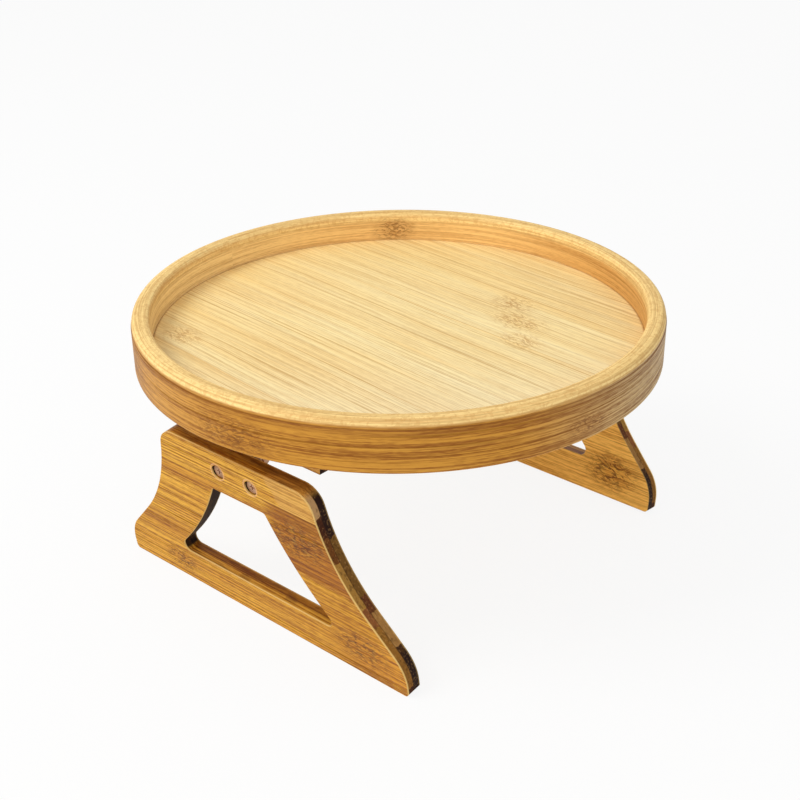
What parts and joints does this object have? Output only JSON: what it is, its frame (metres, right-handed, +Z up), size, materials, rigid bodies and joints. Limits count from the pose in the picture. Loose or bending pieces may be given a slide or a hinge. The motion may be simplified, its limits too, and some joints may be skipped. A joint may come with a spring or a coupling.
{
  "type": "sofa arm tray",
  "caption": "Round bamboo tray with a raised rounded rim on folding trapezoid leg boards that stand astride a sofa's arm.",
  "frame": {"origin": "centre of the box's underside: the ground under the middle of the tray", "axes": "+X from the left leg to the right leg, across the sofa arm; +Y along the sofa arm; +Z up"},
  "size_m": [0.254, 0.254, 0.1313],
  "materials": {
    "rim_bamboo": "satin varnish",
    "floor_bamboo": "satin varnish",
    "rail_bamboo": "satin varnish",
    "leg_bamboo": "satin varnish",
    "leaf_steel": "bronze plate",
    "pin_steel": "bronze plate",
    "bolt_steel": "bronze plate",
    "washer_steel": "blued spring steel",
    "zinc_fasteners": "bright zinc plate"
  },
  "bodies": {
    "tray": {"tray_rim": "rim_bamboo", "tray_floor": "floor_bamboo", "left_rail": "rail_bamboo", "right_rail": "rail_bamboo", "rail_screws": "zinc_fasteners", "left_rail_leaf": "leaf_steel", "right_rail_leaf": "leaf_steel", "left_hinge_pin": "pin_steel", "right_hinge_pin": "pin_steel", "left_friction_washers": "washer_steel", "right_friction_washers": "washer_steel", "left_leaf_screws": "bolt_steel", "right_leaf_screws": "bolt_steel"},
    "left_leg_swing": {"left_leg": "leg_bamboo", "left_leg_leaf": "leaf_steel", "left_leg_bolts": "bolt_steel", "left_bolt_washers": "zinc_fasteners", "left_leg_nuts": "zinc_fasteners"},
    "right_leg_swing": {"right_leg": "leg_bamboo", "right_leg_leaf": "leaf_steel", "right_leg_bolts": "bolt_steel", "right_bolt_washers": "zinc_fasteners", "right_leg_nuts": "zinc_fasteners"}
  },
  "joints": [
    {"name": "left_leg_fold", "type": "hinge", "parent": "tray", "child": "left_leg_swing", "pos_m": [-0.1021, 0, 0.08977], "axis": [0, 1, 0], "range_deg": [-82.2, 97.8]},
    {"name": "right_leg_fold", "type": "hinge", "parent": "tray", "child": "right_leg_swing", "pos_m": [0.1021, 0, 0.08977], "axis": [0, -1, 0], "range_deg": [-82.2, 97.8]}
  ]
}
